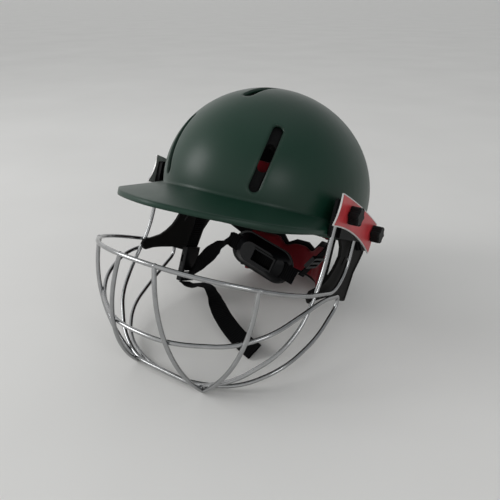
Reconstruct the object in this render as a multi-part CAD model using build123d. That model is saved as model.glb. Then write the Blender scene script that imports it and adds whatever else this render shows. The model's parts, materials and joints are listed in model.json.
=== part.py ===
from build123d import *
import math
import os

# Cricket helmet: a moulded shell with a welded wire grille clamped to both of its sides.
# Sizes in millimetres. Everything is drawn in the frame of the level helmet, whose origin is
# the middle of the dome at its widest level: +X is the wearer's left, -Y the front, +Z up.
# At the end it is leaned back and set down, as it rests on the grille's feet and the nape cradle.

# Stance
lean_back = 23.3
overrun = 3.0
fit_gap = 0.3
running_gap = 0.05

# Shell
shell_radius = 109.3
shell_half_length = 136.0
shell_wall = 3.6
crease_drop = 16.5
crease_inset = 0.8
edge_drop = 24.2
edge_tilt = 2.6
lip_height = 4.6
peak_reach = 197.0
flare_inset = 1.8
waist_inset = 4.3
flare_half_width = shell_radius - flare_inset
waist_half_width = shell_radius - waist_inset
skirt_rear_length = 129.0
outline_shares = ((0.991, -0.203), (0.999, -0.365), (0.989, -0.467), (0.949, -0.574),
                  (0.874, -0.675), (0.781, -0.754), (0.651, -0.830), (0.484, -0.909),
                  (0.279, -0.964))
rim_front_drop = 41.0
rim_front_y = -96.0
rim_break_y = -60.0
rim_break_drop = 35.0
rim_side_drop = 37.5
rim_rear_drop = 40.5

# Vents
vent_width = 10.2
vent_length = 68.0
vent_ledge = 0.9
vent_ledge_depth = 0.8
vent_cut_depth = 22.0
liner_vent_share = 0.42
front_vent_x = 53.7
front_vent_level = 26.4
rear_vent_x = 46.0
rear_vent_level = 34.0
crown_vent_length = 58.0
crown_vent_y = -63.0

# Lining
liner_thickness = 12.0
liner_front_drop = 20.0
liner_rear_drop = 40.0
pad_thickness = 9.0
pad_clearance = 0.4
pad_bottom_drop = 24.0
pad_top_rise = 24.0
brow_pad_back = 62.0
side_pad_front = 56.0
side_pad_back = 58.0
rear_pad_front = 62.0
rear_pad_drop = 45.0
crown_pad_radius = 52.0

# Grille wire
wire_diameter = 4.2
wire_clearance = 0.1
weld_sink = 0.35
bend_share = 0.45
grille_standoff = 7.2
grille_half_width = shell_radius + grille_standoff
grille_reach = 197.5
grille_depth = 205.0
upright_standoff = 2.1
upright_x = shell_radius + upright_standoff
upright_top_drop = 14.0
front_upright_y = -61.0
rear_upright_y = 1.0
top_bar_side_drop = 90.0
top_bar_bend = 38.0
top_bar_shares = ((1.016, -0.655, -0.422), (0.4146, -1.0, -0.41))
chin_hoop_straight_drop = 74.0
chin_hoop_shares = ((0.950, -0.4025, -0.590), (0.863, -0.491, -0.735),
                    (0.622, -0.572, -0.889), (0.343, -0.621, -0.968))
loop_shares = ((0.0, -0.886, -0.735), (0.275, -0.886, -0.735), (0.682, -0.742, -0.690),
               (0.888, -0.620, -0.612), (0.9845, -0.456, -0.512), (0.989, -0.263, -0.461),
               (0.968, -0.0354, -0.4576), (0.9657, -0.0354, -0.522), (0.957, -0.1924, -0.673),
               (0.867, -0.385, -0.812), (0.609, -0.524, -0.934), (0.206, -0.599, -0.9805),
               (0.0, -0.599, -0.9805))
foot_x = 43.0
foot_y = -117.8
foot_drop = 202.2
outer_arm_top_inset = 21.0
outer_arm_top_x = grille_half_width - outer_arm_top_inset
inner_arm_top_x = 20.0
outer_arm_mid_inset = 30.5
outer_arm_mid_x = grille_half_width - outer_arm_mid_inset
inner_arm_mid_x = 31.0

# Side clamps
clamp_sink = 1.3
clamp_inner_x = shell_radius - clamp_sink
cap_thickness = 3.3
clamp_front = 66.0
clamp_back = 50.0
clamp_height = 50.0
clamp_top = 5.0
clamp_outline_shares = ((-1.0, 0.0), (-1.0, 0.76), (0.24, 0.80), (0.52, 1.0), (1.0, 0.98),
                        (0.94, 0.36))
clamp_corner = 4.0
cap_inset = 0.8
cap_corner_back = 50.0
cap_corner_drop = 22.0
boss_radius = 7.5
badge_thickness = 1.5
badge_corner = 1.4
badge_front = 77.0
badge_back = 51.0
badge_height = 57.0
badge_top = 10.0
badge_corner_shares = ((-0.91, 0.0), (-1.0, 0.561), (0.882, 1.0), (1.0, 0.386))
badge_middle_shares = ((-0.896, 0.21), (-0.208, 0.654), (0.922, 0.719), (-0.123, 0.149))

# Knobs
knob_radius = 10.1
knob_core_radius = 8.2
knob_lobe_radius = 3.0
knob_lobes = 6
knob_length = 11.0
knob_edge = 1.2
knob_collar_radius = 5.2
knob_collar_length = 1.2
knob_cap_wall = 2.4
bolt_diameter = 5.0
bolt_clearance = 0.3
front_knob_y = -39.5
front_knob_level = -8.5
rear_knob_y = 40.5
rear_knob_level = -23.0
nut_across = 9.0
nut_length = 5.0
nut_flange = 13.0
nut_flange_length = 3.0

# Ear guards
ear_guard_thickness = 2.5
ear_rib_height = 0.8
ear_rib_width = 2.2
ear_corner = 2.4
ear_slot_length = 10.0
ear_slot_width = 2.4
ear_front = 75.5
ear_back = 51.5
ear_top = 31.4
ear_height = 71.5
ear_outline_shares = ((-0.424, 0.0), (-0.265, 0.162), (-0.232, 0.288), (-0.291, 0.407),
                      (-0.358, 0.505), (-0.477, 0.611), (-0.596, 0.687), (-0.795, 0.75),
                      (-0.947, 0.778), (-1.0, 0.864), (-0.907, 0.952), (-0.728, 0.91),
                      (-0.543, 0.897), (-0.265, 0.89), (0.078, 0.945), (0.322, 0.992),
                      (0.551, 1.0), (0.639, 0.737), (0.699, 0.547), (0.874, 0.371),
                      (1.0, 0.232), (1.0, 0.148), (0.497, 0.022))
ear_slot_middle_shares = (-0.06, 0.36)
ear_slot_tilt = 55.0

# Nape cradle
cradle_middle_y = 40.0
cradle_half_width = 70.0
cradle_half_length = 86.0
cradle_wall = 2.8
cradle_front_y = 78.0
cradle_top_drop = 57.0
cradle_shoulder_drop = 50.5
cradle_dip_drop = 63.5
cradle_dip_x = 20.0
cradle_bump_half = 9.0
cradle_shoulder_x = 30.0
cradle_depth = 56.0
cradle_pad_thickness = 8.0
cradle_pad_margin = 5.0
cradle_arm_width = 15.0
cradle_arm_thickness = 1.8
cradle_arm_front_y = 20.0
cradle_arm_inset = 25.3
cradle_arm_front_x = shell_radius - cradle_arm_inset
cradle_arm_front_drop = 34.0
cradle_arm_tuck = 9.0
cradle_arm_back_x = cradle_half_width - cradle_arm_tuck
cradle_arm_back_y = 80.0
cradle_arm_back_drop = 61.0
cradle_stud_radius = 3.0
cradle_stud_head_radius = 5.0
cradle_stud_head = 1.5

# Harness
web_width = 20.0
web_thickness = 1.6
strap_inset = 23.5
strap_top_x = shell_radius - strap_inset
strap_top_drop = 25.0
strap_bend_drop = 46.0
strap_bend = 14.0
far_strap_spread = 5.7
far_strap_x = strap_top_x + far_strap_spread
near_strap_run = 25.8
near_strap_end_x = strap_top_x - near_strap_run
near_strap_end_drop = 86.0
anchor_radius = 6.0
anchor_thickness = 1.6
anchor_drop = 34.5
anchor_shank_radius = 2.2
buckle_width = 27.0
buckle_thickness = 8.0
buckle_wall = 1.5
buckle_corner = 1.6
buckle_top_drop = 91.0
female_length = 26.0
female_pocket = 6.0
female_window = 9.0
male_length = 17.0
male_slot = 3.0
prong_length = 15.0
prong_width = 4.0
tail_start_inset = 5.5
tail_start_x = far_strap_x - tail_start_inset
tail_start_y = -4.0
tail_start_drop = 0.1
tail_end_x = 50.0
tail_end_y = -43.0
tail_end_gap = 2.0

# Chin cup
cup_x = 10.0
cup_y = 0.0
cup_drop = 77.6
cup_tilt = 13.5
cup_length = 84.0
cup_width = 38.5
cup_front_length = 47.0
cup_front_width = 23.0
cup_depth = 13.0
cup_wall = 2.2
cup_rim = 1.5
cup_window_length = 27.0
cup_window_width = 13.0
cup_window_shift = 8.0
cup_window_frame = 2.2
cup_window_raise = 1.2
cup_strap_depth = 4.6
cup_strap_slot = 2.8
cup_pad_height = 5.0
strap_far_drop = 122.0
strap_turn_inset = 17.5
strap_turn_x = far_strap_x - strap_turn_inset
strap_turn_radius = 12.0
strap_near_overhang = 8.0
strap_far_overhang = 18.0

# Strap slider
slider_length = 16.0
slider_width = 26.0
slider_thickness = 4.4
slider_bar = 3.0
slider_position_share = 0.55


def leaned(shape):
    return Rot(-lean_back, 0, 0) * shape


def mirrored(shape):
    return mirror(shape, about=Plane.YZ)


def both_ways(points):
    # A route given from the wearer's left to the middle is carried on to the right.
    return list(points) + [(-x, y, z) for x, y, z in reversed(points)]


def side_plate(face, inner_x, thickness):
    # A plate standing upright at the wearer's left, drawn as (y, z) and thickened outwards.
    return extrude(Pos(inner_x, 0, 0) * (Plane.YZ * face), amount=thickness)


def side_pin(y, z, radius, inner_x, outer_x):
    return side_plate(Pos(y, z) * Circle(radius), inner_x, outer_x - inner_x)


def placed(shares, front, back, top, height):
    # Shares of a side part's reach, forward or back of the middle, and of its height downwards.
    return [(y * (front if y < 0 else back), top - z * height) for y, z in shares]


def egg(inset):
    # The dome, or its copy an even distance further in, turned about the fore-and-aft axis.
    # Its seam is underneath, where the rim cuts it away.
    arc = EllipticalCenterArc((0, 0), shell_radius - inset, shell_half_length - inset,
                              start_angle=-90, arc_size=180)
    section = Rot(0, 90, 0) * make_face([arc, Line(arc @ 1, arc @ 0)])
    return revolve(section, axis=Axis.Y)


def ring(half_width, half_length):
    front = EllipticalCenterArc((0, 0), half_width, half_length, start_angle=180, arc_size=180)
    rear = EllipticalCenterArc((0, 0), half_width, half_length, start_angle=0, arc_size=180)
    return make_face([front, rear])


def edge_outline(inset):
    # Plan of the flared edge: a broad peak in front, closing on the dome's waist at the sides.
    wide = flare_half_width - inset
    reach = peak_reach - inset
    waist = waist_half_width - inset
    right = [(waist, 0)] + [(x * wide, y * reach) for x, y in outline_shares]
    left = [(-x, y) for x, y in right]
    front = Spline(left + [(0, -reach)] + right[::-1], tangents=[(0, -1), (0, 1)])
    rear = EllipticalCenterArc((0, 0), waist, skirt_rear_length - inset,
                               start_angle=0, arc_size=180)
    return make_face([front, rear])


def crease_half(half):
    level = crease_drop / shell_radius
    return half * math.sqrt(1 - level ** 2) - crease_inset


def skirt(inset, drop, depth):
    # The flare between the crease on the dome and the edge, and the upright lip below it.
    crease = Pos(0, 0, -crease_drop - drop) * ring(
        crease_half(shell_radius) - inset, crease_half(shell_half_length) - inset)
    edge = Pos(0, 0, -edge_drop - drop) * Rot(edge_tilt, 0, 0) * edge_outline(inset)
    flare = loft([crease, edge], ruled=True)
    lip = extrude(edge, amount=depth, dir=(0, 0, -1))
    return flare + lip


def below_rim():
    # Everything under the shell's lower edge, as one block across the helmet.
    far = peak_reach * 2
    low = shell_radius * 2
    line = Polyline((-far, -rim_front_drop), (rim_front_y, -rim_front_drop),
                    (rim_break_y, -rim_break_drop), (0, -rim_side_drop),
                    (shell_half_length / 2, -rim_side_drop),
                    (shell_half_length, -rim_rear_drop), (far, -rim_rear_drop))
    closing = Polyline((far, -rim_rear_drop), (far, -low), (-far, -low), (-far, -rim_front_drop))
    return extrude(Plane.YZ * make_face([line, closing]), amount=far, both=True)


def below_line(front_drop, rear_drop):
    # Everything under a sloping line from the brow to the nape.
    far = peak_reach * 2
    low = shell_radius * 2
    line = Polyline((-far, -front_drop), (-shell_half_length, -front_drop),
                    (shell_half_length, -rear_drop), (far, -rear_drop), (far, -low),
                    (-far, -low), close=True)
    return extrude(Plane.YZ * make_face(line), amount=far, both=True)


def slot_through(centre, outward, along, length, width):
    plane = Plane(origin=centre, x_dir=along, z_dir=outward)
    return extrude(plane * SlotOverall(length, width), amount=vent_cut_depth, both=True)


def dome_point(x, z, sign):
    y = shell_half_length * math.sqrt(1 - (x / shell_radius) ** 2 - (z / shell_radius) ** 2)
    return Vector(x, sign * y, z)


def dome_normal(point):
    return Vector(point.X / shell_radius ** 2, point.Y / shell_half_length ** 2,
                  point.Z / shell_radius ** 2).normalized()


def side_vent(x, level, sign, share, growth):
    centre = dome_point(x, level, sign)
    outward = dome_normal(centre)
    along = outward.cross(Vector(1, 0, 0)).normalized()
    return slot_through(centre, outward, along, vent_length * share + growth,
                        vent_width + growth)


def crown_vent(share, growth):
    height = shell_radius * math.sqrt(1 - (crown_vent_y / shell_half_length) ** 2)
    centre = Vector(0, crown_vent_y, height)
    outward = dome_normal(centre)
    along = Vector(1, 0, 0).cross(outward)
    return slot_through(centre, outward, along, crown_vent_length * share + growth,
                        vent_width + growth)


def vents(share, growth):
    # The five slots, at a share of their length and widened all round by half the growth.
    return [side_vent(front_vent_x, front_vent_level, -1, share, growth),
            side_vent(-front_vent_x, front_vent_level, -1, share, growth),
            side_vent(rear_vent_x, rear_vent_level, 1, share, growth),
            side_vent(-rear_vent_x, rear_vent_level, 1, share, growth),
            crown_vent(share, growth)]


def bolt_places():
    return [(front_knob_y, front_knob_level), (rear_knob_y, rear_knob_level)]


def bolt_holes(radius):
    far = clamp_inner_x * 2
    return [side_pin(y, z, radius, -far, far) for y, z in bolt_places()]


def outer_shell():
    dome = egg(0) - egg(shell_wall) - below_rim()
    inside = skirt(shell_wall, shell_wall, lip_height + overrun)
    peak = skirt(0, 0, lip_height) - inside - egg(shell_wall / 2)
    body = dome + peak
    floor_of_ledge = egg(vent_ledge_depth)
    for slot in vents(1, 0):
        body = body - slot
    for ledge in vents(1, 2 * vent_ledge):
        body = body - (ledge - floor_of_ledge)
    for hole in bolt_holes(bolt_diameter / 2 + bolt_clearance):
        body = body - hole
    return body


def lining(outside, thickness):
    return egg(outside) - egg(outside + thickness)


def impact_liner():
    body = lining(shell_wall + fit_gap, liner_thickness)
    body = body - below_line(liner_front_drop, liner_rear_drop)
    for slot in vents(liner_vent_share, 0):
        body = body - slot
    for pocket in bolt_holes(nut_flange / 2 + fit_gap):
        body = body - pocket
    return body


def pad_layer():
    return lining(shell_wall + fit_gap + liner_thickness + pad_clearance, pad_thickness)


def zone(front, back, bottom, top, half_width):
    # A box that keeps only what lies between two stations and two levels.
    return Pos(0, (front + back) / 2, (bottom + top) / 2) * Box(
        2 * half_width, back - front, top - bottom)


def brow_pad():
    keep = zone(-shell_half_length, -brow_pad_back, -liner_front_drop, pad_top_rise, shell_radius)
    return pad_layer() & keep


def rear_pad():
    keep = zone(rear_pad_front, shell_half_length, -rear_pad_drop, pad_top_rise, shell_radius)
    return pad_layer() & keep


def side_pad(side):
    keep = zone(-side_pad_front, side_pad_back, -pad_bottom_drop, pad_top_rise,
                shell_radius / 2)
    return pad_layer() & (Pos(side * shell_radius / 2, 0, 0) * keep)


def crown_pad():
    core = extrude(Circle(crown_pad_radius), amount=shell_radius)
    return pad_layer() & core


def bend_radii(points, end_factor):
    # Each bend takes up the same share of the shorter run beside it.
    runs = [(Vector(*b) - Vector(*a)) for a, b in zip(points, points[1:])]
    lengths = [run.length for run in runs]
    lengths[0] = lengths[0] * end_factor
    lengths[-1] = lengths[-1] * end_factor
    radii = []
    for before, after, run, following in zip(lengths, lengths[1:], runs, runs[1:]):
        turn = math.radians(run.get_angle(following))
        radii.append(bend_share * min(before, after) / math.tan(turn / 2))
    return radii


def wire(path):
    section = Plane(origin=path @ 0, z_dir=path % 0) * Circle(wire_diameter / 2)
    return sweep(section, path=path)


def grille_places(shares):
    return [(x * grille_half_width, y * grille_reach, z * grille_depth) for x, y, z in shares]


def top_bar_path():
    start = [(upright_x, rear_upright_y, -upright_top_drop),
             (upright_x, rear_upright_y, -top_bar_side_drop)]
    points = both_ways(start + grille_places(top_bar_shares))
    radii = bend_radii(points, 1)
    radii[0] = top_bar_bend
    radii[-1] = top_bar_bend
    return FilletPolyline(*points, radius=radii)


def chin_hoop_path():
    start = [(upright_x, front_upright_y, -upright_top_drop),
             (upright_x, front_upright_y, -chin_hoop_straight_drop)]
    points = both_ways(start + grille_places(chin_hoop_shares))
    return FilletPolyline(*points, radius=bend_radii(points, 1))


def guard_loop_half():
    # From the middle of the front, round the cheek and back under the chin to the middle.
    points = grille_places(loop_shares)
    return FilletPolyline(*points, radius=bend_radii(points, 2))


def guard_loop():
    half = wire(guard_loop_half())
    return half + mirrored(half)


def place_at_x(path, x, rear):
    # The point of a route that crosses the given station, searched for by halving.
    low, high = (rear, 0.5)
    for step in range(40):
        middle = (low + high) / 2
        if (path @ middle).X > x:
            low = middle
        else:
            high = middle
    return path @ high


def foot_place():
    return Vector(foot_x, foot_y, -foot_drop)


def arm_path(top_x, middle_x):
    # A bar of the V: from the top bar's underside, outside the guard loop, to the foot.
    top = place_at_x(top_bar_path(), top_x, 0.2)
    front_half = guard_loop_half()
    low, high = (0.0, 0.3)
    for step in range(40):
        middle = (low + high) / 2
        if (front_half @ middle).X < middle_x:
            low = middle
        else:
            high = middle
    crossing = front_half @ high
    outward = (front_half % high).cross(foot_place() - top).normalized()
    if outward.Y > 0:
        outward = outward * -1
    passing = crossing + outward * (wire_diameter - weld_sink)
    return ThreePointArc(top, passing, foot_place())


def v_bar():
    outer = wire(arm_path(outer_arm_top_x, outer_arm_mid_x))
    inner = wire(arm_path(inner_arm_top_x, inner_arm_mid_x))
    foot = Pos(foot_x, foot_y, -foot_drop) * Sphere(wire_diameter / 2)
    return outer + inner + foot


def clamp_face():
    outline = placed(clamp_outline_shares, clamp_front, clamp_back, clamp_top, clamp_height)
    face = make_face(Polyline(*outline, close=True))
    return fillet(face.vertices(), clamp_corner)


def upright_grooves():
    # Round channels in which both uprights of the grille slide when the knobs are loose.
    radius = wire_diameter / 2 + wire_clearance
    return [Pos(upright_x, y, 0) * Cylinder(radius, 2 * grille_depth)
            for y in (front_upright_y, rear_upright_y)]


def clamp_base():
    face = clamp_face()
    body = side_plate(face, clamp_inner_x, upright_x - clamp_inner_x)
    for y, z in bolt_places():
        body = body + side_pin(y, z, boss_radius, shell_radius * 3 / 4, upright_x)
    body = body - egg(-fit_gap) - skirt(-fit_gap, 0, lip_height + overrun)
    for hole in bolt_holes(bolt_diameter / 2 + bolt_clearance) + upright_grooves():
        body = body - hole
    return body


def clamp_cap():
    # The cap leaves the front upright in view below the badge.
    corner = Pos(-clamp_front, -clamp_height) * Rectangle(
        2 * (clamp_front - cap_corner_back), 2 * (clamp_height - cap_corner_drop))
    face = offset(clamp_face(), -cap_inset) - corner
    body = side_plate(face, upright_x, cap_thickness)
    for hole in bolt_holes(bolt_diameter / 2 + bolt_clearance) + upright_grooves():
        body = body - hole
    return body


def badge_face():
    corners = placed(badge_corner_shares, badge_front, badge_back, badge_top, badge_height)
    middles = placed(badge_middle_shares, badge_front, badge_back, badge_top, badge_height)
    sides = [ThreePointArc(start, middle, end) for start, middle, end in
             zip(corners, middles, corners[1:] + corners[:1])]
    face = make_face(sides)
    return fillet(face.vertices(), badge_corner)


def badge_inner_x():
    return upright_x + cap_thickness


def badge_plate():
    body = side_plate(badge_face(), badge_inner_x(), badge_thickness)
    for hole in bolt_holes(bolt_diameter / 2 + bolt_clearance):
        body = body - hole
    return body


def knob_inner_x():
    return badge_inner_x() + badge_thickness + fit_gap


def knob(y, z):
    # A lobed hand knob on a collar, turning on the bolt in a blind bore.
    inner = knob_inner_x()
    grip_length = knob_length - knob_collar_length
    profile = Circle(knob_core_radius)
    lobe_centre = knob_radius - knob_lobe_radius
    for lobe in PolarLocations(lobe_centre, knob_lobes):
        profile = profile + lobe * Circle(knob_lobe_radius)
    grip = side_plate(Pos(y, z) * profile, inner + knob_collar_length, grip_length)
    grip = chamfer(grip.faces().sort_by(Axis.X)[-1].edges(), knob_edge)
    collar = side_pin(y, z, knob_collar_radius, inner, inner + knob_collar_length)
    bore = side_pin(y, z, bolt_diameter / 2 + running_gap, inner,
                    inner + knob_length - knob_cap_wall)
    return grip + collar - bore


def nut_reach(y, z):
    # How far out the shell's inner face lies at a bolt.
    radius = shell_radius - shell_wall
    length = shell_half_length - shell_wall
    return radius * math.sqrt(1 - (z / radius) ** 2 - (y / length) ** 2)


def clamp_nut(y, z):
    # A hexagon whose flange follows the shell's inner face.
    reach = nut_reach(y, z)
    flange_inner = reach - nut_flange_length
    flange = side_pin(y, z, nut_flange / 2, flange_inner, shell_radius) & egg(shell_wall + fit_gap)
    hexagon = side_plate(Pos(y, z) * RegularPolygon(nut_across / 2, 6, major_radius=False),
                         flange_inner - nut_length, nut_length)
    bore = side_pin(y, z, bolt_diameter / 2, flange_inner - nut_length, shell_radius)
    return hexagon + flange - bore


def knob_bolt(y, z):
    inner = nut_reach(y, z) - nut_flange_length - nut_length
    outer = knob_inner_x() + knob_length - knob_cap_wall - fit_gap
    return side_pin(y, z, bolt_diameter / 2, inner, outer)


def ear_guard_face():
    outline = placed(ear_outline_shares, ear_front, ear_back, -ear_top, ear_height)
    face = make_face(Polyline(*outline, close=True))
    return fillet(face.vertices(), ear_corner)


def ear_guard():
    # The crook at the front hooks round behind the cheek wires; its rim is raised.
    face = ear_guard_face()
    outer_x = clamp_inner_x - fit_gap
    plate = side_plate(face, outer_x - ear_guard_thickness, ear_guard_thickness)
    rim = side_plate(face - offset(face, -ear_rib_width), outer_x, ear_rib_height)
    shadow = side_plate(offset(clamp_face(), fit_gap + running_gap), outer_x, ear_rib_height)
    slot_middle = (ear_slot_middle_shares[0] * ear_front,
                   -ear_top - ear_slot_middle_shares[1] * ear_height)
    slot_face = Pos(*slot_middle) * Rot(0, 0, ear_slot_tilt) * SlotOverall(
        ear_slot_length, ear_slot_width)
    slot = side_plate(slot_face, outer_x - ear_guard_thickness - overrun,
                      ear_guard_thickness + 2 * overrun)
    return plate + (rim - shadow) - slot


def foot_level():
    # Height of the feet's lowest point, once leaned back: the ground that the helmet stands on.
    angle = math.radians(lean_back)
    return -foot_y * math.sin(angle) - foot_drop * math.cos(angle) - wire_diameter / 2


def below_ground():
    slab = Pos(0, 0, foot_level() - shell_radius) * Box(
        4 * shell_radius, 6 * shell_radius, 2 * shell_radius)
    return Rot(lean_back, 0, 0) * slab


def cradle_ring(half_width, half_length, wall):
    outer = ring(half_width, half_length)
    inner = ring(half_width - wall, half_length - wall)
    band = extrude(Pos(0, cradle_middle_y, -cradle_shoulder_drop) * (outer - inner),
                   amount=-cradle_depth)
    front = zone(-shell_half_length, cradle_front_y, -grille_depth, 0, shell_radius)
    return band - front


def cradle_notch():
    # The top edge: shoulders at both sides, a dip, and a low crown in the middle.
    high = cradle_shoulder_drop - overrun
    right = [(cradle_bump_half, -cradle_top_drop), (cradle_dip_x, -cradle_dip_drop),
             (cradle_shoulder_x, -cradle_shoulder_drop), (cradle_shoulder_x, -high)]
    left = [(-x, z) for x, z in right]
    face = make_face(Polyline(*(left[::-1] + right), close=True))
    return extrude(Plane.XZ * face, amount=2 * shell_half_length, both=True)


def rear_cradle():
    # A moulded band round the nape, cut flat where it stands, with an arm to either side.
    band = cradle_ring(cradle_half_width, cradle_half_length, cradle_wall)
    return band - cradle_notch() - below_ground() + cradle_arm() + mirrored(cradle_arm())


def cradle_pad():
    skin = cradle_wall + fit_gap
    band = cradle_ring(cradle_half_width - skin, cradle_half_length - skin, cradle_pad_thickness)
    band = Pos(0, 0, -cradle_pad_margin) * (band - cradle_notch())
    lifted = Pos(0, 0, cradle_pad_margin) * below_ground()
    return band - lifted


def strip_between(start, end, width, thickness, outward):
    # A flat strip along a line, its face turned outwards.
    along = end - start
    plane = Plane(origin=(start + end) / 2, x_dir=along, z_dir=outward)
    return plane * Box(along.length, width, thickness)


def cradle_arm():
    # A flat arm from the nape cradle forward, up to its stud inside the shell.
    back = Vector(cradle_arm_back_x, cradle_arm_back_y, -cradle_arm_back_drop)
    front = Vector(cradle_arm_front_x, cradle_arm_front_y, -cradle_arm_front_drop)
    along = front - back
    outward = along.cross(Vector(0, 0, -1)).normalized()
    arm = strip_between(back, front, cradle_arm_width, cradle_arm_thickness, outward)
    hole = side_pin(cradle_stud_y(), cradle_stud_level(),
                    cradle_stud_radius + fit_gap, 0, shell_radius)
    return arm - hole


def cradle_stud_y():
    return cradle_arm_front_y + cradle_arm_width / 2


def cradle_stud_level():
    return -cradle_arm_front_drop - cradle_arm_width / 8


def cradle_stud():
    y = cradle_stud_y()
    inner = cradle_arm_front_x - cradle_arm_width / 4 - cradle_arm_thickness - fit_gap
    head = side_pin(y, cradle_stud_level(), cradle_stud_head_radius,
                    inner - cradle_stud_head, inner)
    shank = side_pin(y, cradle_stud_level(), cradle_stud_radius, inner, shell_radius)
    return head + (shank & egg(shell_wall + fit_gap))


def web_band(path, y):
    # A strap hanging in one plane across the helmet, its width lying fore and aft.
    face = Plane.XZ * trace(path, line_width=web_thickness)
    return extrude(Pos(0, y, 0) * face, amount=web_width / 2, both=True)


def anchor_hole(y):
    return side_pin(y, -anchor_drop, anchor_shank_radius + running_gap, 0, shell_radius)


def far_strap():
    # From its anchor in the shell down into the buckle.
    bottom = buckle_top_drop + female_pocket - fit_gap
    path = FilletPolyline((strap_top_x, -strap_top_drop), (strap_top_x, -strap_bend_drop),
                          (far_strap_x, -buckle_top_drop), (far_strap_x, -bottom),
                          radius=[strap_bend, strap_bend])
    return mirrored(web_band(path, 0) - anchor_hole(0))


def near_strap():
    path = FilletPolyline(*near_strap_route(), radius=[strap_bend])
    return web_band(path, near_strap_y()) - anchor_hole(near_strap_y())


def near_strap_y():
    # The near strap ends just behind the cup's strap.
    return cup_y - cup_strap_depth + (web_thickness + web_width) / 2 + fit_gap


def near_strap_route():
    return [(strap_top_x, -strap_top_drop), (strap_top_x, -strap_bend_drop),
            (near_strap_end_x, -near_strap_end_drop)]


def strap_anchor(y):
    # A flat-headed stud that holds the end of a side strap off the shell's inner face.
    inner = strap_top_x - web_thickness / 2
    head = side_pin(y, -anchor_drop, anchor_radius, inner - anchor_thickness, inner)
    shank = side_pin(y, -anchor_drop, anchor_shank_radius, inner, shell_radius)
    return head + (shank & egg(shell_wall + fit_gap))


def buckle_box(length, top_drop, width, thickness):
    return Pos(-far_strap_x, 0, -top_drop - length / 2) * Box(thickness, width, length)


def buckle_female():
    # A flat sleeve: a pocket for the strap on top, a mouth for the prongs below.
    body = buckle_box(female_length, buckle_top_drop, buckle_width, buckle_thickness)
    body = fillet(body.edges().filter_by(Axis.Z), buckle_corner)
    mouth_depth = prong_length + 2 * fit_gap
    mouth_top = buckle_top_drop + female_length - mouth_depth
    mouth = buckle_box(mouth_depth + overrun, mouth_top, buckle_width - 2 * buckle_wall,
                       buckle_thickness - 2 * buckle_wall)
    windows = buckle_box(female_window, mouth_top + fit_gap, buckle_width + overrun,
                         buckle_thickness - 2 * buckle_wall)
    pocket = buckle_box(female_pocket + overrun, buckle_top_drop - overrun,
                        web_width + 2 * fit_gap, web_thickness + 2 * fit_gap)
    return body - mouth - windows - pocket


def buckle_male():
    # A ladder block with two strap slots, and two prongs that reach up into the sleeve.
    top = buckle_top_drop + female_length + fit_gap
    block = buckle_box(male_length, top, buckle_width, buckle_thickness)
    block = fillet(block.edges().filter_by(Axis.Z), buckle_corner)
    inside = buckle_width - 2 * buckle_wall - 2 * fit_gap
    prongs = buckle_box(prong_length + overrun, top - prong_length, inside,
                        buckle_thickness - 2 * buckle_wall - 2 * fit_gap)
    gap = buckle_box(prong_length, top - prong_length - overrun,
                     inside - 2 * prong_width, buckle_thickness)
    body = block + (prongs - gap)
    bar = (male_length - 2 * male_slot) / 3
    for step in range(2):
        slot_top = top + bar + step * (bar + male_slot)
        body = body - buckle_box(male_slot, slot_top, web_width + 2 * fit_gap,
                                 buckle_thickness + overrun)
    return body


def buckle_bottom():
    return buckle_top_drop + female_length + fit_gap + male_length


def strap_tail():
    # The free end below the buckle, run out until it lies on the ground.
    angle = math.radians(lean_back)
    ground = (foot_level() + tail_end_y * math.sin(angle)) / math.cos(angle)
    start = Vector(-tail_start_x, tail_start_y,
                   -buckle_bottom() - tail_start_drop)
    end = Vector(tail_end_x, tail_end_y, ground + tail_end_gap)
    upright = Vector(0, -math.sin(angle), math.cos(angle))
    outward = upright - (end - start).normalized() * upright.dot((end - start).normalized())
    return strip_between(start, end, web_width, web_thickness, outward)


def cup_plane(depth):
    # The chin cup's own plane: its length across the helmet, its hollow side facing rearward.
    along = Rot(0, cup_tilt, 0)
    return Pos(cup_x, cup_y - depth, -cup_drop) * along * Rot(90, 0, 0)


def cup_body(inset, depth):
    base = cup_plane(0) * SlotOverall(cup_length - 2 * inset, cup_width - 2 * inset)
    front = cup_plane(depth) * SlotOverall(cup_front_length - 2 * inset,
                                           cup_front_width - 2 * inset)
    return loft([base, front], ruled=True)


def chin_cup():
    # A shallow dish with a rolled rim, a framed window in front and a strap slot at each end.
    dish = cup_body(0, cup_depth) - cup_body(cup_wall, cup_depth - cup_wall)
    rim = extrude(cup_plane(0) * (SlotOverall(cup_length + cup_rim, cup_width + cup_rim)
                                  - SlotOverall(cup_length - 2 * cup_wall,
                                                cup_width - 2 * cup_wall)), amount=cup_rim)
    frame = cup_plane(cup_depth - cup_wall) * Pos(cup_window_shift, 0, 0) * Box(
        cup_window_length + 2 * cup_window_frame, cup_window_width + 2 * cup_window_frame,
        2 * cup_wall + 2 * cup_window_raise)
    window = cup_plane(cup_depth) * Pos(cup_window_shift, 0, 0) * Box(
        cup_window_length, cup_window_width, cup_depth)
    inside = cup_body(cup_wall, cup_depth - cup_wall)
    body = dish + rim + (frame - inside) - window
    slots = cup_plane(cup_strap_depth) * Box(2 * cup_length, web_width + 2 * fit_gap,
                                             cup_strap_slot)
    return body - slots


def cup_pad():
    # A foam insert behind the strap.
    reach = cup_strap_depth - web_thickness / 2 - fit_gap
    face = cup_plane(reach) * SlotOverall(cup_length - 2 * cup_wall - 2 * cup_rim,
                                          cup_width - 2 * cup_wall - 2 * cup_rim)
    pad = extrude(face, amount=-reach - cup_pad_height)
    return pad & cup_shadow()


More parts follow.
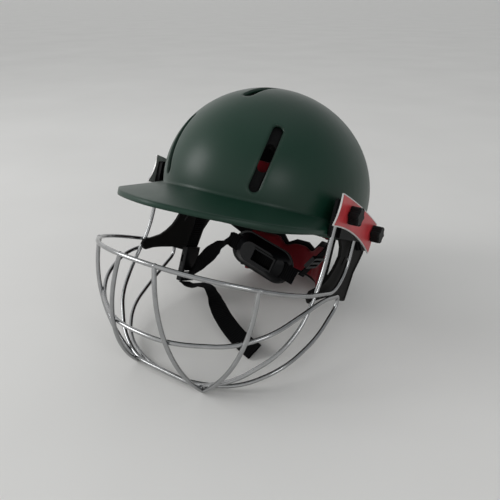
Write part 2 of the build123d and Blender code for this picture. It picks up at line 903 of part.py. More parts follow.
def cup_shadow():
    # Everything that lies within the cup's wall or behind its rim.
    behind = cup_plane(0) * Box(2 * cup_length, 2 * cup_width, 4 * cup_depth)
    front_half = cup_plane(cup_depth) * Box(2 * cup_length, 2 * cup_width, 2 * cup_depth)
    return cup_body(cup_wall + fit_gap, cup_depth - cup_wall) + (behind - front_half)


def cup_axis_place(shift):
    # A point on the line through the cup's end slots, seen from the front.
    angle = math.radians(cup_tilt)
    return (cup_x + shift * math.cos(angle), -cup_drop - shift * math.sin(angle))


def cup_strap():
    # From the buckle's ladder, through the cup, to the near strap.
    start_x = far_strap_x - buckle_thickness / 2 - fit_gap
    path = FilletPolyline((-start_x, -strap_far_drop), (-strap_turn_x, -strap_far_drop),
                          cup_axis_place(-cup_length / 2 - strap_far_overhang),
                          cup_axis_place(cup_length / 2 + strap_near_overhang),
                          radius=[strap_turn_radius, strap_turn_radius])
    face = Plane.XZ * trace(path, line_width=web_width)
    middle = cup_y - cup_strap_depth
    return extrude(Pos(0, middle, 0) * face, amount=web_thickness / 2, both=True)


def slider_plane():
    # On the near strap's lower run, its x along the strap and its y along the strap's width.
    start = Vector(strap_top_x, near_strap_y(), -strap_bend_drop)
    end = Vector(near_strap_end_x, near_strap_y(), -near_strap_end_drop)
    return Plane(origin=start + (end - start) * slider_position_share, x_dir=end - start,
                 z_dir=(end - start).cross(Vector(0, 1, 0)))


def strap_slider():
    # A three-bar slide: the strap runs straight through it, under the bars on both faces.
    body = Box(slider_length, slider_width, slider_thickness)
    body = fillet(body.edges().filter_by(Axis.Z), slider_bar / 2)
    tunnel = Box(2 * slider_length, web_width + 2 * fit_gap, web_thickness + 2 * fit_gap)
    opening = (slider_length - 3 * slider_bar) / 2
    shift = (opening + slider_bar) / 2
    windows = [Pos(side * shift, 0, 0) * Box(opening, web_width + 2 * fit_gap,
                                             2 * slider_thickness) for side in (-1, 1)]
    return slider_plane() * (body - tunnel - windows[0] - windows[1])


def side_nodes():
    # Pieces of one side, drawn on the wearer's left and mirrored for the right.
    front, rear = bolt_places()
    return {"clamp_base": clamp_base(), "clamp_cap": clamp_cap(), "badge_plate": badge_plate(),
            "knob_front": knob(*front), "knob_rear": knob(*rear),
            "clamp_nuts": Compound([clamp_nut(*front), clamp_nut(*rear)]),
            "knob_bolts": Compound([knob_bolt(*front), knob_bolt(*rear)]),
            "ear_guard": ear_guard(), "grille_v_bar": v_bar(), "cradle_stud": cradle_stud()}


def middle_nodes():
    return {"outer_shell": outer_shell(), "impact_liner": impact_liner(),
            "brow_pad": brow_pad(), "crown_pad": crown_pad(), "rear_pad": rear_pad(),
            "side_pad_left": side_pad(1), "side_pad_right": side_pad(-1),
            "grille_top_bar": wire(top_bar_path()), "grille_chin_hoop": wire(chin_hoop_path()),
            "grille_guard_loop": guard_loop(), "rear_cradle": rear_cradle(),
            "cradle_pad": cradle_pad(), "side_strap_left": near_strap(),
            "side_strap_right": far_strap(), "cup_strap": cup_strap(),
            "strap_tail": strap_tail(), "strap_slider": strap_slider(),
            "strap_anchor_left": strap_anchor(near_strap_y()),
            "strap_anchor_right": mirrored(strap_anchor(0)), "buckle_female": buckle_female(),
            "buckle_male": buckle_male(), "chin_cup": chin_cup(), "cup_pad": cup_pad()}


def all_nodes():
    parts = middle_nodes()
    for name, shape in side_nodes().items():
        parts[name + "_left"] = shape
        parts[name + "_right"] = mirrored(shape)
    return parts


def bounds(shapes):
    boxes = [shape.bounding_box() for shape in shapes]
    low = [min(tuple(box.min)[axis] for box in boxes) for axis in range(3)]
    high = [max(tuple(box.max)[axis] for box in boxes) for axis in range(3)]
    return low, high


def standing(parts):
    # Leaned back, set down on the feet and centred over its own footprint.
    turned = {name: leaned(shape) for name, shape in parts.items()}
    low, high = bounds(turned.values())
    shift = Pos(0, -(low[1] + high[1]) / 2, -foot_level())
    print("shift to the standing place", -(low[1] + high[1]) / 2, -foot_level())
    return {name: shift * shape for name, shape in turned.items()}


parts = standing(all_nodes())

os.makedirs("parts", exist_ok=True)
for name, shape in parts.items():
    export_step(shape, "parts/" + name + ".step")
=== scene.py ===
import json
import math
import bmesh
import bpy
from mathutils import Matrix, Vector
from mathutils.geometry import interpolate_bezier
from mathutils.kdtree import KDTree


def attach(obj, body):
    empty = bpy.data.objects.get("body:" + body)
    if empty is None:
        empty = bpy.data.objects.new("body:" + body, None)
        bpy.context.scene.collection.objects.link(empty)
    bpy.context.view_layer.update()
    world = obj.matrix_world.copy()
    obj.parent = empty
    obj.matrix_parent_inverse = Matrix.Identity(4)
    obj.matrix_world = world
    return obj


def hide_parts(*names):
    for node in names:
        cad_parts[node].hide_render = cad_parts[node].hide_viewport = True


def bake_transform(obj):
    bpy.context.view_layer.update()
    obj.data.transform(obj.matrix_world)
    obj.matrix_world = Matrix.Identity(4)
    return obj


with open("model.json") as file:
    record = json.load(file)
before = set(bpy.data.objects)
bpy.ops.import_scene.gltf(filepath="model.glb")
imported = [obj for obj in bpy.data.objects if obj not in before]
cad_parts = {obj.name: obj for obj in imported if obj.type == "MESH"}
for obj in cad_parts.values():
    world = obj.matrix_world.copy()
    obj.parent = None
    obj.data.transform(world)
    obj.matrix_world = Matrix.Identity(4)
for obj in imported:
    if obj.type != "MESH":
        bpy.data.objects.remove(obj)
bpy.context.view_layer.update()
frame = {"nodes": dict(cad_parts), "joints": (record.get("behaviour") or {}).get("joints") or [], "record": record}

nodes = frame["nodes"]
print("frame loaded,", len(nodes), "nodes")

# The helmet stands leaned back. Places below are given on the level helmet, in millimetres
# from the middle of its dome: x to the wearer's left, y to the rear, z up.
stance = {"knobJoint": "knob_front_left_turn", "knobPlace": (121.0, -39.5, -8.5),
          "heightJoint": "grille_height"}
jointByName = {joint["name"]: joint for joint in frame["joints"]}
upAxis = Vector(jointByName[stance["heightJoint"]]["axis"])
lean = math.atan2(upAxis.y, upAxis.z)
turn = Matrix.Rotation(-lean, 3, "X")
domeCentre = (Vector(jointByName[stance["knobJoint"]]["pos_m"])
              - turn @ (Vector(stance["knobPlace"]) / 1000))


def place(x, y, z):
    return domeCentre + turn @ (Vector((x, y, z)) / 1000)


def aim(x, y, z):
    return (turn @ Vector((x, y, z))).normalized()


# Shader maths


class Wire:
    # One output of a shader node, which can be added, taken away and multiplied.
    def __init__(self, paint, socket):
        self.paint = paint
        self.socket = socket

    def combine(self, operation, first, second):
        return self.paint.add("ShaderNodeMath", {"operation": operation}, {0: first, 1: second})

    def __add__(self, other):
        return self.combine("ADD", self, other)

    def __radd__(self, other):
        return self.combine("ADD", other, self)

    def __sub__(self, other):
        return self.combine("SUBTRACT", self, other)

    def __rsub__(self, other):
        return self.combine("SUBTRACT", other, self)

    def __mul__(self, other):
        return self.combine("MULTIPLY", self, other)

    def __rmul__(self, other):
        return self.combine("MULTIPLY", other, self)


class Paint:
    # A material that is built node by node.
    def __init__(self, name):
        self.material = bpy.data.materials.new(name)
        self.material.use_nodes = True
        self.tree = self.material.node_tree
        self.shader = self.tree.nodes["Principled BSDF"]

    def add(self, kind, settings, inputs, output=0):
        node = self.tree.nodes.new(kind)
        for key, value in settings.items():
            if key == "stops":
                self.setStops(node, value)
            else:
                setattr(node, key, value)
        for key, value in inputs.items():
            self.feed(node.inputs[key], value)
        return Wire(self, node.outputs[output])

    def setStops(self, node, stops):
        elements = node.color_ramp.elements
        while len(elements) < len(stops):
            elements.new(0.5)
        for element, (position, colour) in zip(elements, stops):
            element.position = position
            element.color = colour

    def feed(self, socket, value):
        if isinstance(value, Wire):
            self.tree.links.new(value.socket, socket)
        else:
            socket.default_value = value

    def coordinates(self, output="Object"):
        return self.add("ShaderNodeTexCoord", {}, {}, output)

    def uv(self, name):
        return self.add("ShaderNodeUVMap", {"uv_map": name}, {})

    def noise(self, scale, detail=3.0, vector=None, roughness=0.5):
        vector = vector or self.coordinates()
        return self.add("ShaderNodeTexNoise", {}, {"Vector": vector, "Scale": scale,
                                                   "Detail": detail, "Roughness": roughness})

    def ramp(self, factor, stops):
        return self.add("ShaderNodeValToRGB", {"stops": stops}, {"Fac": factor})

    def blend(self, factor, first, second):
        return self.add("ShaderNodeMix", {"data_type": "RGBA"},
                        {"Factor": factor, 6: first, 7: second}, 2)

    def bump(self, height, strength, distance, under=None):
        inputs = {"Height": height, "Strength": strength, "Distance": distance}
        if under:
            inputs["Normal"] = under
        return self.add("ShaderNodeBump", {}, inputs)

    def softEdges(self, radius):
        # Edges are shaded as if rounded to this radius.
        return self.add("ShaderNodeBevel", {"samples": 8}, {"Radius": radius})

    def finish(self, **values):
        for key, value in values.items():
            self.feed(self.shader.inputs[key], value)
        return self.material


def rgba(red, green, blue):
    return (red, green, blue, 1.0)


def scaledNoise(paint, stretch, scale, detail=3.0):
    mapped = paint.add("ShaderNodeMapping", {}, {"Vector": paint.coordinates(),
                                                 "Scale": stretch})
    return paint.noise(scale, detail, mapped)


def shellPaint():
    paint = Paint("matte green shell")
    cloudy = paint.noise(9.0, 4.0)
    peel = paint.noise(900.0, 2.0)
    rub = paint.noise(60.0, 6.0, roughness=0.7)
    colour = paint.ramp(cloudy, [(0.35, rgba(0.0038, 0.0270, 0.0155)),
                                 (0.65, rgba(0.0048, 0.0325, 0.0190))])
    roughness = 0.27 + cloudy * 0.14 + rub * 0.08
    return paint.finish(**{"Base Color": colour, "Roughness": roughness,
                           "Specular IOR Level": 0.34,
                           "Normal": paint.bump(peel, 0.10, 0.0002, paint.softEdges(0.005))})


def wireFinish():
    paint = Paint("silver wire")
    streak = scaledNoise(paint, (1.0, 1.0, 0.25), 900.0)
    mottle = paint.noise(120.0, 5.0)
    colour = paint.ramp(mottle, [(0.3, rgba(0.33, 0.335, 0.34)), (0.7, rgba(0.38, 0.385, 0.39))])
    roughness = 0.13 + streak * 0.05 + mottle * 0.05
    return paint.finish(**{"Base Color": colour, "Metallic": 1.0, "Roughness": roughness,
                           "Normal": paint.bump(streak, 0.05, 0.0001)})


def grainPlastic(name, low, high, roughness, grain, depth, shine=0.11):
    paint = Paint(name)
    cells = paint.add("ShaderNodeTexVoronoi", {"feature": "F1"},
                      {"Vector": paint.coordinates(), "Scale": grain})
    cloudy = paint.noise(30.0, 5.0)
    colour = paint.ramp(cloudy, [(0.3, rgba(*low)), (0.7, rgba(*high))])
    matt = (roughness - 0.06) + cloudy * 0.12
    return paint.finish(**{"Base Color": colour, "Roughness": matt, "Specular IOR Level": shine,
                           "Normal": paint.bump(cells, depth, 0.0002,
                                                paint.softEdges(0.0008))})


def steelFinish():
    paint = Paint("zinc steel")
    streak = scaledNoise(paint, (1.0, 6.0, 6.0), 500.0)
    colour = paint.ramp(streak, [(0.3, rgba(0.38, 0.38, 0.37)), (0.7, rgba(0.55, 0.55, 0.54))])
    return paint.finish(**{"Base Color": colour, "Metallic": 1.0, "Roughness": 0.3 + streak * 0.15})


def enamel():
    paint = Paint("red enamel")
    cloudy = paint.noise(70.0, 4.0)
    speck = paint.noise(700.0, 2.0)
    colour = paint.ramp(cloudy, [(0.3, rgba(0.42, 0.028, 0.034)), (0.7, rgba(0.54, 0.044, 0.052))])
    return paint.finish(**{"Base Color": colour, "Roughness": 0.30 + cloudy * 0.12,
                           "Normal": paint.bump(speck, 0.08, 0.0001)})


def badgeMetal():
    paint = Paint("pale badge border")
    cloudy = paint.noise(200.0, 4.0)
    colour = paint.ramp(cloudy, [(0.3, rgba(0.50, 0.49, 0.48)), (0.7, rgba(0.62, 0.61, 0.60))])
    return paint.finish(**{"Base Color": colour, "Metallic": 0.35, "Roughness": 0.32 + cloudy * 0.12})


def jersey(name, low, high):
    paint = Paint(name)
    spot = paint.add("ShaderNodeTexVoronoi", {"feature": "F1"},
                     {"Vector": paint.coordinates(), "Scale": 1400.0})
    cloudy = paint.noise(25.0, 5.0)
    fuzz = paint.noise(2600.0, 2.0)
    colour = paint.ramp(cloudy, [(0.3, rgba(*low)), (0.7, rgba(*high))])
    height = spot + fuzz * 0.4
    return paint.finish(**{"Base Color": colour, "Roughness": 0.86 - spot * 0.08,
                           "Specular IOR Level": 0.2,
                           "Sheen Weight": 0.15, "Sheen Roughness": 0.5,
                           "Normal": paint.bump(height, 0.5, 0.0004)})


def foamFinish(name, low, high):
    paint = Paint(name)
    pores = paint.add("ShaderNodeTexVoronoi", {"feature": "F1"},
                      {"Vector": paint.coordinates(), "Scale": 520.0})
    cloudy = paint.noise(40.0, 5.0)
    colour = paint.ramp(cloudy, [(0.3, rgba(*low)), (0.7, rgba(*high))])
    return paint.finish(**{"Base Color": colour, "Roughness": 0.85 - pores * 0.1,
                           "Specular IOR Level": 0.15,
                           "Normal": paint.bump(pores, 0.5, 0.0005)})


web = {"width": 0.020, "thickness": 0.0018, "rib": 0.0026, "yarn": 0.0012,
       "ribHeight": 0.00032, "ribPull": 0.00028, "step": 0.00052, "sides": 24,
       "squareness": 0.32, "foldShare": 1.7, "samples": 40}


def webFinish():
    # Ribs run across the strap, evenly along its length.
    paint = Paint("ribbed webbing")
    flat = paint.add("ShaderNodeSeparateXYZ", {}, {"Vector": paint.uv("strap")})
    across = paint.add("ShaderNodeSeparateXYZ", {}, {"Vector": paint.uv("strap")}, 1)
    rib = paint.add("ShaderNodeMath", {"operation": "SINE"}, {0: flat * (2 * math.pi / web["rib"])})
    yarn = paint.add("ShaderNodeMath", {"operation": "SINE"}, {0: across * (2 * math.pi / web["yarn"])})
    fuzz = paint.noise(1800.0, 3.0)
    height = rib * 0.5 + 0.5 + yarn * 0.12 + fuzz * 0.3
    # Colour follows the rib height: painted shade in the grooves between ribs and a painted highlight on the rib
    # crests, plus random tone from the fuzz.
    colour = paint.ramp(height * 0.6, [(0.15, rgba(0.0005, 0.0005, 0.0006)),
                                       (0.75, rgba(0.0056, 0.0056, 0.0064))])
    return paint.finish(**{"Base Color": colour, "Roughness": 0.66 + fuzz * 0.2,
                           "Specular IOR Level": 0.04, "Sheen Weight": 0.01,
                           "Normal": paint.bump(height, 0.8, 0.0006)})


def floorFinish():
    paint = Paint("pale floor")
    cloudy = paint.noise(3.0, 3.0)
    colour = paint.ramp(cloudy, [(0.3, rgba(0.74, 0.735, 0.72)), (0.7, rgba(0.78, 0.775, 0.76))])
    return paint.finish(**{"Base Color": colour, "Roughness": 0.6})


materials = {
    "shell": shellPaint(),
    "wire": wireFinish(),
    "clamp": grainPlastic("black nylon", (0.0022, 0.0022, 0.0026), (0.0045, 0.0045, 0.0050),
                          0.52, 1500.0, 0.25),
    "guard": grainPlastic("ear guard rubber", (0.0040, 0.0038, 0.0036), (0.0085, 0.0080, 0.0074),
                          0.62, 1100.0, 0.35),
    "knob": grainPlastic("knob plastic", (0.0034, 0.0034, 0.0037), (0.0062, 0.0062, 0.0066),
                         0.45, 1700.0, 0.2),
    "cradle": grainPlastic("cradle plastic", (0.0020, 0.0020, 0.0024), (0.0042, 0.0042, 0.0048),
                           0.42, 1600.0, 0.2),
    "buckle": grainPlastic("buckle plastic", (0.0018, 0.0020, 0.0026), (0.0042, 0.0044, 0.0054),
                           0.34, 1900.0, 0.12, 0.2),
    "cup": grainPlastic("chin cup plastic", (0.0012, 0.0014, 0.0020), (0.0030, 0.0034, 0.0044),
                        0.34, 1500.0, 0.12, 0.16),
    "metal": steelFinish(),
    "badge": badgeMetal(),
    "enamel": enamel(),
    "pads": jersey("red jersey", (0.13, 0.003, 0.007), (0.20, 0.005, 0.011)),
    "liner": foamFinish("black foam", (0.0018, 0.0018, 0.0020), (0.0040, 0.0040, 0.0044)),
    "cupFoam": foamFinish("cup foam", (0.030, 0.032, 0.042), (0.045, 0.048, 0.060)),
    "webbing": webFinish(),
}
print("materials ready")


def dress(node, key):
    mesh = nodes[node].data
    mesh.materials.clear()
    mesh.materials.append(materials[key])


slotByNode = {entry["node"]: entry["material_slot"] for entry in frame["record"]["subparts"]}
for node, key in slotByNode.items():
    dress(node, key)
print("carried nodes dressed")


def keep(bm, name, key, body=None):
    mesh = bpy.data.meshes.new(name)
    bm.to_mesh(mesh)
    bm.free()
    mesh.materials.append(materials[key])
    for face in mesh.polygons:
        face.use_smooth = True
    piece = bpy.data.objects.new(name, mesh)
    bpy.context.scene.collection.objects.link(piece)
    if body:
        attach(piece, body)
    return piece


# Webbing

# Each station is a place, the direction of the strap's width there, and its share of the width.
straps = {
    "strapWebNear": {
        "node": "side_strap_left", "body": "helmet",
        "stations": [((85.8, 6.5, -25.5), (0.0, 1.0, 0.0), 1.0),
                     ((85.8, 6.5, -36.0), (0.0, 1.0, 0.0), 1.0),
                     ((84.6, 6.5, -47.0), (0.0, 1.0, 0.0), 1.0),
                     ((78.3, 6.5, -57.6), (0.0, 1.0, 0.0), 1.0),
                     ((71.6, 6.5, -68.0), (0.0, 1.0, 0.0), 1.0),
                     ((64.9, 6.5, -78.4), (0.0, 1.0, 0.0), 1.0),
                     ((62.3, 6.4, -82.4), (0.02, 1.0, 0.04), 1.0),
                     ((59.8, 5.2, -87.0), (0.15, 1.0, 0.28), 1.0)]},
    "strapWebFar": {
        "node": "side_strap_right", "body": "helmet",
        "stations": [((-85.8, 0.0, -25.5), (0.0, 1.0, 0.0), 1.0),
                     ((-85.8, 0.0, -38.0), (0.0, 1.0, 0.0), 1.0),
                     ((-86.3, 0.0, -50.0), (0.0, 1.0, 0.0), 1.0),
                     ((-88.6, 0.0, -70.0), (0.0, 1.0, 0.0), 1.0),
                     ((-91.2, 0.0, -88.0), (0.0, 1.0, 0.0), 1.0),
                     ((-91.5, 0.0, -96.0), (0.0, 1.0, 0.0), 1.0)]},
    "strapWebCup": {
        "node": "cup_strap", "body": "helmet", "held": "buckle_prongs",
        "follows": ((-87.6, -2.0, -128.5), (-49.0, -1.6, -79.0)),
        "stations": [((-87.6, -2.0, -128.5), (-0.50, 0.75, 0.43), 0.9),
                     ((-79.0, -3.2, -118.2), (-0.70, 0.60, 0.25), 1.0),
                     ((-69.7, -2.8, -104.3), (-0.88, 0.20, 0.40), 1.0),
                     ((-61.4, -2.2, -92.9), (-0.76, 0.02, 0.64), 1.0),
                     ((-53.0, -1.6, -82.9), (-0.74, 0.30, 0.56), 0.95),
                     ((-45.2, -1.6, -76.2), (-0.60, 0.72, 0.30), 0.80),
                     ((-39.6, -2.6, -71.0), (-0.36, 0.72, 0.56), 0.74),
                     ((-34.6, -4.2, -67.6), (0.18, 0.16, 0.96), 0.88),
                     ((-28.0, -4.6, -68.46), (0.2334, 0.0, 0.9724), 0.94),
                     ((10.0, -4.6, -77.6), (0.2334, 0.0, 0.9724), 0.94),
                     ((48.0, -4.6, -86.7), (0.2334, 0.0, 0.9724), 0.94),
                     ((58.0, -4.0, -89.1), (0.2334, 0.1, 0.9724), 0.94)]},
    "strapWebTail": {
        "node": "strap_tail", "body": "helmet", "held": "buckle_prongs", "fold": 0.011,
        "follows": ((-86.0, -3.0, -136.4), (-36.0, -17.5, -133.0)),
        "stations": [((-89.0, -2.4, -136.2), (-0.40, 0.90, 0.0), 0.96),
                     ((-80.0, -4.2, -136.6), (-0.48, 0.86, 0.03), 1.0),
                     ((-69.0, -6.6, -134.6), (-0.50, 0.85, 0.05), 1.0),
                     ((-56.0, -9.7, -130.6), (-0.42, 0.91, 0.03), 1.0),
                     ((-42.8, -14.5, -130.4), (-0.36, 0.92, 0.08), 1.0),
                     ((-29.5, -20.6, -136.0), (-0.25, 0.92, 0.26), 1.0),
                     ((-17.3, -28.0, -143.5), (-0.02, 0.86, 0.50), 1.0),
                     ((-5.1, -34.5, -149.9), (0.27, 0.76, 0.58), 1.0),
                     ((11.0, -39.9, -157.6), (0.44, 0.60, 0.66), 1.0),
                     ((28.4, -45.0, -163.9), (0.45, 0.50, 0.74), 1.0),
                     ((42.6, -49.7, -166.8), (0.42, 0.48, 0.77), 1.0),
                     ((55.8, -54.0, -168.8), (0.36, 0.50, 0.79), 1.0)]},
}


def strapLine(stations):
    # Evenly spaced places along the strap, each with its width direction and width share.
    spots = [place(*spot) for spot, across, share in stations]
    sides = [aim(*across) for spot, across, share in stations]
    shares = [share for spot, across, share in stations]
    dense = []
    for index in range(len(spots) - 1):
        before = spots[max(index - 1, 0)]
        after = spots[min(index + 2, len(spots) - 1)]
        reach = (spots[index + 1] - spots[index]).length
        handleIn = (spots[index + 1] - before).normalized() * reach / 3
        handleOut = (after - spots[index]).normalized() * reach / 3
        curve = interpolate_bezier(spots[index], spots[index] + handleIn,
                                   spots[index + 1] - handleOut, spots[index + 1],
                                   web["samples"])
        for step, spot in enumerate(curve[:-1] if index < len(spots) - 2 else curve):
            part = step / (web["samples"] - 1)
            smooth = part * part * (3 - 2 * part)
            side = sides[index].lerp(sides[index + 1], smooth).normalized()
            share = shares[index] * (1 - smooth) + shares[index + 1] * smooth
            dense.append((spot, side, share))
    return dense


def evenly(dense, step):
    # The same line walked at a fixed step.
    walked = [(0.0, *dense[0])]
    travelled = 0.0
    due = step
    for (spot, side, share), (nextSpot, nextSide, nextShare) in zip(dense, dense[1:]):
        run = (nextSpot - spot).length
        while due <= travelled + run:
            part = (due - travelled) / run
            walked.append((due, spot.lerp(nextSpot, part),
                           side.lerp(nextSide, part).normalized(),
                           share * (1 - part) + nextShare * part))
            due += step
        travelled += run
    return walked


def ribbon(name, settings):
    line = evenly(strapLine(settings["stations"]), web["step"])
    bm = bmesh.new()
    across = bm.verts.layers.float.new("across")
    deep = bm.verts.layers.float.new("deep")
    along = bm.verts.layers.float.new("along")
    ringVerts = bmesh.ops.create_circle(bm, segments=web["sides"], radius=1.0)["verts"]
    for vert in ringVerts:
        vert[across] = math.copysign(abs(vert.co.x) ** web["squareness"], vert.co.x)
        vert[deep] = math.copysign(abs(vert.co.y) ** web["squareness"], vert.co.y)
    edges = list(bm.edges)
    startEdges = list(edges)
    for index, (distance, spot, side, share) in enumerate(line):
        if index:
            grown = bmesh.ops.extrude_edge_only(bm, edges=edges)["geom"]
            ringVerts = [item for item in grown if isinstance(item, bmesh.types.BMVert)]
            fresh = set(ringVerts)
            edges = [item for item in grown if isinstance(item, bmesh.types.BMEdge)
                     and item.verts[0] in fresh and item.verts[1] in fresh]
        ahead = line[min(index + 1, len(line) - 1)][1] - line[max(index - 1, 0)][1]
        ahead = ahead.normalized()
        sideways = (side - ahead * side.dot(ahead)).normalized()
        out = ahead.cross(sideways)
        wave = 0.5 + 0.5 * math.cos(2 * math.pi * distance / web["rib"])
        halfWidth = web["width"] / 2 * share - web["ribPull"] * (1 - wave)
        halfDepth = web["thickness"] / 2 - web["ribHeight"] * (1 - wave)
        if distance > line[-1][0] - settings.get("fold", 0):
            halfDepth *= web["foldShare"]
        for vert in ringVerts:
            vert.co = (spot + sideways * vert[across] * halfWidth
                       + out * vert[deep] * halfDepth)
            vert[along] = distance
    bmesh.ops.holes_fill(bm, edges=startEdges + edges, sides=0)
    bmesh.ops.recalc_face_normals(bm, faces=bm.faces)
    sheet = bm.loops.layers.uv.new("strap")
    for face in bm.faces:
        for loop in face.loops:
            loop[sheet].uv = (loop.vert[along], loop.vert[across] * web["width"] / 2)
    if "held" in settings:
        # A strap held in the buckle's prongs is kept on no body, with its placement baked into the mesh.
        piece = keep(bm, name, "webbing")
        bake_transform(piece)
    else:
        piece = keep(bm, name, "webbing", settings["body"])
    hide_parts(settings["node"])
    return piece


for name, settings in straps.items():
    ribbon(name, settings)
print("webbing done")

# Pads

cloth = {"voxel": 0.0034, "pressure": 4.0, "frames": 20, "stiffness": 12.0, "shrink": 0.0010,
         "roundsBefore": 3, "roundsAfter": 1}
pads = {
    "padBrow": {"node": "brow_pad", "body": "helmet", "slot": "pads", "finish": "pads",
                "cap": 0.0022, "fill": 0.6},
    "padCrown": {"node": "crown_pad", "body": "helmet", "slot": "pads", "finish": "pads",
                 "cap": 0.0022, "fill": 0.6},
    "padRear": {"node": "rear_pad", "body": "helmet", "slot": "pads", "finish": "pads",
                "cap": 0.0022, "fill": 0.6},
    "padSideLeft": {"node": "side_pad_left", "body": "helmet", "slot": "pads",
                    "finish": "pads", "cap": 0.0022, "fill": 0.6},
    "padSideRight": {"node": "side_pad_right", "body": "helmet", "slot": "pads",
                     "finish": "pads", "cap": 0.0022, "fill": 0.6},
    "padCradle": {"node": "cradle_pad", "body": "helmet", "slot": "pads", "finish": "pads",
                  "cap": 0.0020, "fill": 0.6},
    "padCup": {"node": "cup_pad", "body": "chin_cup", "slot": "liner", "finish": "cupFoam",
               "cap": 0.0014, "fill": 0.5},
}


def select(piece):
    bpy.ops.object.select_all(action="DESELECT")
    piece.select_set(True)
    bpy.context.view_layer.objects.active = piece


def remeshed(node, voxel):
    source = nodes[node]
    mesh = source.data.copy()
    mesh.transform(source.matrix_world)
    piece = bpy.data.objects.new("work", mesh)
    bpy.context.scene.collection.objects.link(piece)
    select(piece)
    piece.data.remesh_voxel_size = voxel
    bpy.ops.object.voxel_remesh()
    return piece


def shrink(piece, amount):
    mesh = piece.data
    moves = [vertex.normal * amount for vertex in mesh.vertices]
    for vertex, move in zip(mesh.vertices, moves):
        vertex.co = vertex.co - move


def inflate(piece, cap):
    # The pad swells under pressure, and no point goes further than the cap.
    start = [vertex.co.copy() for vertex in piece.data.vertices]
    modifier = piece.modifiers.new("cloth", "CLOTH")
    modifier.settings.use_pressure = True
    modifier.settings.uniform_pressure_force = cloth["pressure"]
    modifier.settings.effector_weights.gravity = 0
    modifier.settings.tension_stiffness = cloth["stiffness"]
    modifier.settings.compression_stiffness = cloth["stiffness"]
    modifier.point_cache.frame_end = cloth["frames"]
    for frameNumber in range(1, cloth["frames"] + 1):
        bpy.context.scene.frame_set(frameNumber)
    select(piece)
    bpy.ops.object.modifier_apply(modifier=modifier.name)
    bpy.context.scene.frame_set(1)
    for vertex, home in zip(piece.data.vertices, start):
        move = vertex.co - home
        if move.length > cap:
            vertex.co = home + move.normalized() * cap


def smooth(piece, rounds):
    bm = bmesh.new()
    bm.from_mesh(piece.data)
    for _ in range(rounds):
        bmesh.ops.smooth_vert(bm, verts=bm.verts, factor=0.5, use_axis_x=True,
                              use_axis_y=True, use_axis_z=True)
    bm.to_mesh(piece.data)
    bm.free()


def makePad(name, settings):
    piece = remeshed(settings["node"], cloth["voxel"])
    smooth(piece, cloth["roundsBefore"])
    shrink(piece, cloth["shrink"])
    inflate(piece, settings["cap"])
    smooth(piece, cloth["roundsAfter"])
    modifier = piece.modifiers.new("smoothing", "SUBSURF")
    modifier.levels = 1
    modifier.render_levels = 1
    select(piece)
    bpy.ops.object.modifier_apply(modifier=modifier.name)
    piece.name = name
    piece.data.name = name
    piece.data.materials.clear()
    piece.data.materials.append(materials[settings["finish"]])
    for face in piece.data.polygons:
        face.use_smooth = True
    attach(piece, settings["body"])
    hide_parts(settings["node"])
    return piece


for name, settings in pads.items():
    makePad(name, settings)
    print(name, "done")

# Red face of each badge

badge = {"border": 0.0013, "raise": 0.00035, "flat": 1e-5, "merge": 1e-6}


def badgeFace(side, direction):
    source = nodes["badge_plate_" + side]
    bm = bmesh.new()
    bm.from_mesh(source.data)
    bm.transform(source.matrix_world)
    outermost = max(direction * vert.co.x for vert in bm.verts)
    others = [face for face in bm.faces
              if any(direction * vert.co.x < outermost - badge["flat"]
                     for vert in face.verts)]
    bmesh.ops.delete(bm, geom=others, context="FACES")
    bmesh.ops.remove_doubles(bm, verts=bm.verts, dist=badge["merge"])
    bmesh.ops.inset_region(bm, faces=bm.faces, thickness=badge["border"],
                           use_boundary=True, use_even_offset=True)
    rim = [face for face in bm.faces if any(edge.is_boundary for edge in face.edges)]
    bmesh.ops.delete(bm, geom=rim, context="FACES")
    grown = bmesh.ops.extrude_face_region(bm, geom=list(bm.faces))["geom"]
    raised = [item for item in grown if isinstance(item, bmesh.types.BMVert)]
    bmesh.ops.translate(bm, verts=raised, vec=(direction * badge["raise"], 0, 0))
    bmesh.ops.recalc_face_normals(bm, faces=bm.faces)
    piece = keep(bm, "badgeFace" + side.capitalize(), "enamel", "helmet")
    for face in piece.data.polygons:
        face.use_smooth = False
    return piece


for side, direction in (("left", 1), ("right", -1)):
    badgeFace(side, direction)
print("badge faces done")

# Weld beads

bead = {"reach": 0.0006, "apart": 0.010, "radius": 0.0024, "detail": 3}


def beadPlaces(first, second):
    tree = KDTree(len(nodes[first].data.vertices))
    for index, vertex in enumerate(nodes[first].data.vertices):
        tree.insert(nodes[first].matrix_world @ vertex.co, index)
    tree.balance()
    found = []
    for vertex in nodes[second].data.vertices:
        spot = nodes[second].matrix_world @ vertex.co
        near, _, distance = tree.find(spot)
        if distance < bead["reach"]:
            found.append((spot + near) / 2)
    groups = []
    for spot in found:
        for group in groups:
            if (group[0] - spot).length < bead["apart"]:
                group.append(spot)
                break
        else:
            groups.append([spot])
    return [sum(group, Vector()) / len(group) for group in groups]


def grillePairs():
    wires = sorted(name for name in nodes if name.startswith("grille"))
    return [(first, second) for index, first in enumerate(wires)
            for second in wires[index + 1:]]


def addBeads():
    bm = bmesh.new()
    count = 0
    for first, second in grillePairs():
        for spot in beadPlaces(first, second):
            bmesh.ops.create_icosphere(bm, subdivisions=bead["detail"],
                                       radius=bead["radius"], matrix=Matrix.Translation(spot))
            count += 1
    print(count, "weld beads")
    keep(bm, "weldBeads", "wire", "grille")


addBeads()

# Camera, at the photograph's place

camera = {"from": (292.0, -480.9, 199.4), "pitch": 26.28, "azimuth": 33.61,
          "lens": 37.08, "sensor": 36.0}


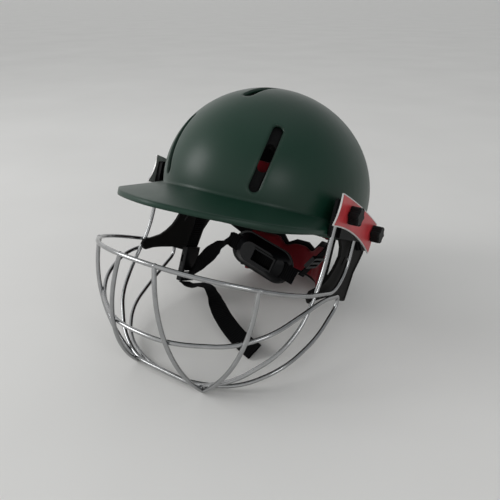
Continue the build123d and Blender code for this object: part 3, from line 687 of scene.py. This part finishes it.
def addCamera():
    data = bpy.data.cameras.new("view")
    data.lens = camera["lens"]
    data.sensor_width = camera["sensor"]
    data.clip_start = 0.01
    data.clip_end = 50.0
    eye = bpy.data.objects.new("view", data)
    bpy.context.scene.collection.objects.link(eye)
    eye.location = domeCentre + Vector(camera["from"]) / 1000
    eye.rotation_euler = (math.radians(90 - camera["pitch"]), 0,
                          math.radians(camera["azimuth"]))
    bpy.context.scene.camera = eye


# Floor and light

studio = {"floorSize": 120.0, "worldStrength": 1.0, "bright": (0.84, 0.84, 0.83), "dark": (0.28, 0.29, 0.30),
          "darkSide": (0.55, 0.35, 0.75)}
lamps = {
    "above": {"at": (0.3, 0.5, 2.0), "size": 1.6, "power": 2.0},
    "right": {"at": (1.7, -0.8, 1.0), "size": 0.5, "power": 4.0},
    "window": {"at": (-1.5, -1.2, 1.1), "size": 0.9, "power": 15.0},
}


def addFloor():
    bm = bmesh.new()
    bmesh.ops.create_grid(bm, x_segments=1, y_segments=1, size=studio["floorSize"] / 2)
    mesh = bpy.data.meshes.new("floor")
    bm.to_mesh(mesh)
    bm.free()
    mesh.materials.append(floorFinish())
    floor = bpy.data.objects.new("floor", mesh)
    bpy.context.scene.collection.objects.link(floor)


def addLight():
    world = bpy.data.worlds.new("studio")
    bpy.context.scene.world = world
    world.use_nodes = True
    background = world.node_tree.nodes["Background"]
    nodeTree = world.node_tree
    direction = nodeTree.nodes.new("ShaderNodeTexCoord")
    facing = nodeTree.nodes.new("ShaderNodeVectorMath")
    facing.operation = "DOT_PRODUCT"
    facing.inputs[1].default_value = studio["darkSide"]
    shade = nodeTree.nodes.new("ShaderNodeValToRGB")
    shade.color_ramp.elements[0].color = rgba(*studio["bright"])
    shade.color_ramp.elements[1].color = rgba(*studio["dark"])
    nodeTree.links.new(direction.outputs["Generated"], facing.inputs[0])
    nodeTree.links.new(facing.outputs["Value"], shade.inputs["Fac"])
    nodeTree.links.new(shade.outputs["Color"], background.inputs["Color"])
    background.inputs["Strength"].default_value = studio["worldStrength"]
    for name, lamp in lamps.items():
        data = bpy.data.lights.new(name, "AREA")
        data.size = lamp["size"]
        data.energy = lamp["power"]
        item = bpy.data.objects.new(name, data)
        bpy.context.scene.collection.objects.link(item)
        item.location = lamp["at"]
        item.rotation_mode = "QUATERNION"
        item.rotation_quaternion = (domeCentre - item.location).to_track_quat("-Z", "Y")


addCamera()
addFloor()
addLight()
bpy.context.scene.view_settings.view_transform = "Standard"
print("camera, floor and light set")
